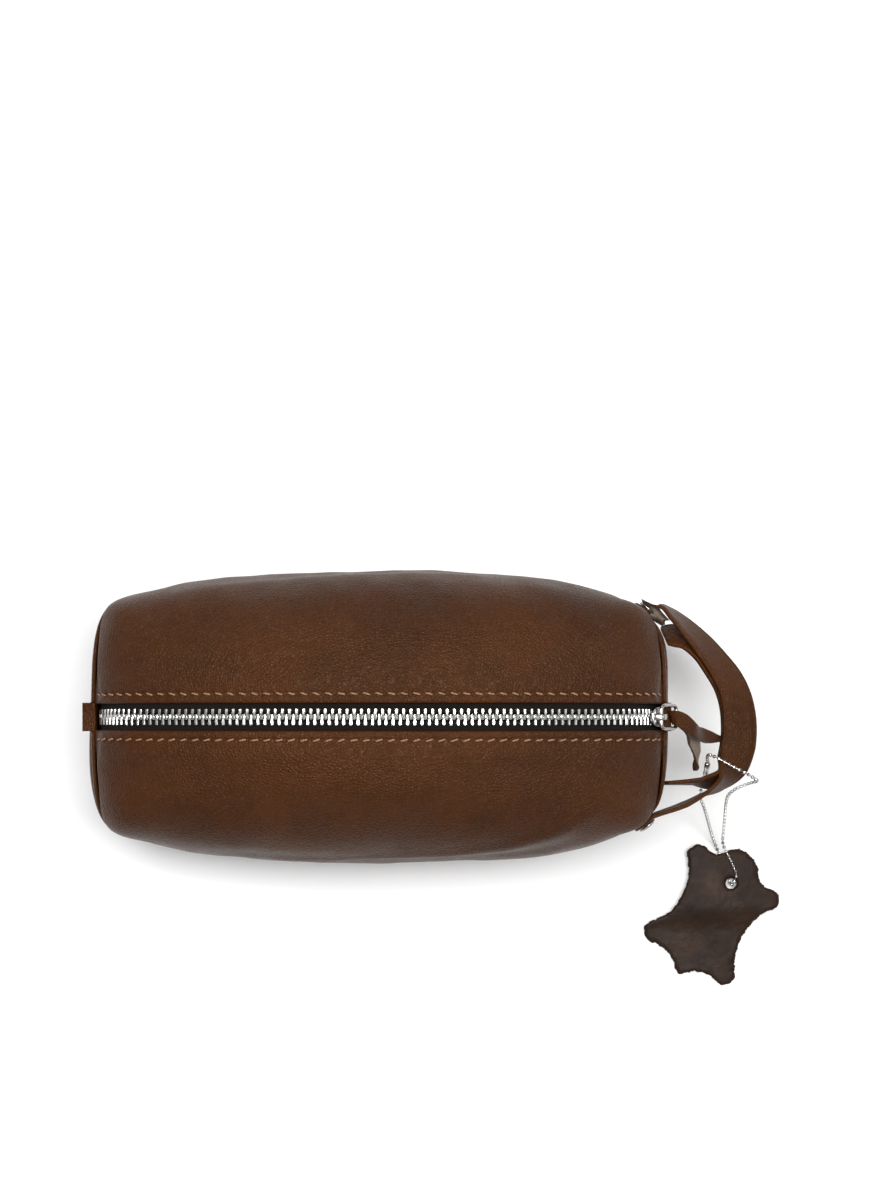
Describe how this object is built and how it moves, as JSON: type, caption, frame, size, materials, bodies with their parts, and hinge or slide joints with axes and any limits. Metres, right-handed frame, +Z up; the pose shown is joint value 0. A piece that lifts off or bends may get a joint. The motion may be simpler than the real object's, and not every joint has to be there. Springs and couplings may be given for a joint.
{
  "type": "shaving kit bag",
  "caption": "Box-shaped brown leather toiletry bag with a domed zip top, leather lace pull, riveted strap handle at one end and a hide-shaped tag on a ball chain",
  "frame": {"origin": "middle of the base, on the surface it stands on", "axes": "+Z up out of the zip top, +X along the zip towards the handle end, +Y towards the back panel"},
  "size_m": [0.3227, 0.1949, 0.1168],
  "materials": {
    "leather": "smooth, lightly grained, waxed brown",
    "strap": "smooth waxed brown, cut edges",
    "lining": "plain woven twill",
    "tape": "black woven tape",
    "metal": "polished nickel",
    "tag": "dark, rough cut edges",
    "board": "stiff fibre board"
  },
  "bodies": {
    "bag": {"front_side_panel": "leather", "back_side_panel": "leather", "left_end_panel": "leather", "right_end_panel": "leather", "base_panel": "leather", "base_board": "board", "lining_tub": "lining", "zip_bottom_stop": "metal", "zip_end_tab_left": "leather", "zip_end_tab_right": "leather", "strap_end_front": "strap", "strap_end_back": "strap", "strap_rivet_front": "metal", "strap_rivet_back": "metal", "rivet_washer_front": "metal", "rivet_washer_back": "metal"},
    "front_lip": {"front_top_panel": "leather", "zip_tape_front": "tape", "zip_teeth_front": "metal", "lip_lining_front": "lining", "zip_top_stop_front": "metal"},
    "back_lip": {"back_top_panel": "leather", "zip_tape_back": "tape", "zip_teeth_back": "metal", "lip_lining_back": "lining", "zip_top_stop_back": "metal"},
    "slider": {"slider_body": "metal"},
    "puller": {"puller_ring": "metal", "pull_thong": "strap"},
    "handle": {"handle_outer_strap": "strap", "handle_inner_strap": "strap"},
    "chain": {"ball_chain": "metal", "chain_connector": "metal"},
    "tag": {"hide_tag": "tag"}
  },
  "joints": [
    {"name": "unzip", "type": "hinge", "parent": "bag", "child": "slider", "pos_m": [0, 0, -0.00065], "axis": [0, -1, 0], "range_deg": [0, 113]},
    {"name": "open_front_lip", "type": "hinge", "parent": "bag", "child": "front_lip", "pos_m": [0, 0, 0.0748], "axis": [1, 0, 0], "range_deg": [0, 32.2], "deforming": ["zip_tape_front", "zip_teeth_front"]},
    {"name": "open_back_lip", "type": "hinge", "parent": "bag", "child": "back_lip", "pos_m": [0, 0, 0.0748], "axis": [-1, 0, 0], "range_deg": [0, 32.2], "deforming": ["zip_tape_back", "zip_teeth_back"]},
    {"name": "flip_puller", "type": "hinge", "parent": "slider", "child": "puller", "pos_m": [0.12361, 0, 0.08108], "axis": [0, -1, 0], "range_deg": [0, 100], "deforming": ["pull_thong"]},
    {"name": "swing_handle", "type": "hinge", "parent": "bag", "child": "handle", "pos_m": [0.1185, 0, 0.06], "axis": [0, -1, 0], "range_deg": [-6, 20]},
    {"name": "lift_chain", "type": "hinge", "parent": "handle", "child": "chain", "pos_m": [0.1588, -0.0215, 0.0576], "axis": [-1, 0, 0], "range_deg": [0, 25], "deforming": ["ball_chain"]},
    {"name": "tip_tag", "type": "hinge", "parent": "chain", "child": "tag", "pos_m": [0.1683, -0.0796, 0.0039], "axis": [-1, 0, 0], "range_deg": [0, 20]}
  ],
  "couplings": [
    {"joint": "open_front_lip", "follows": "unzip", "ratio": 0.28319},
    {"joint": "open_back_lip", "follows": "unzip", "ratio": 0.28319}
  ]
}
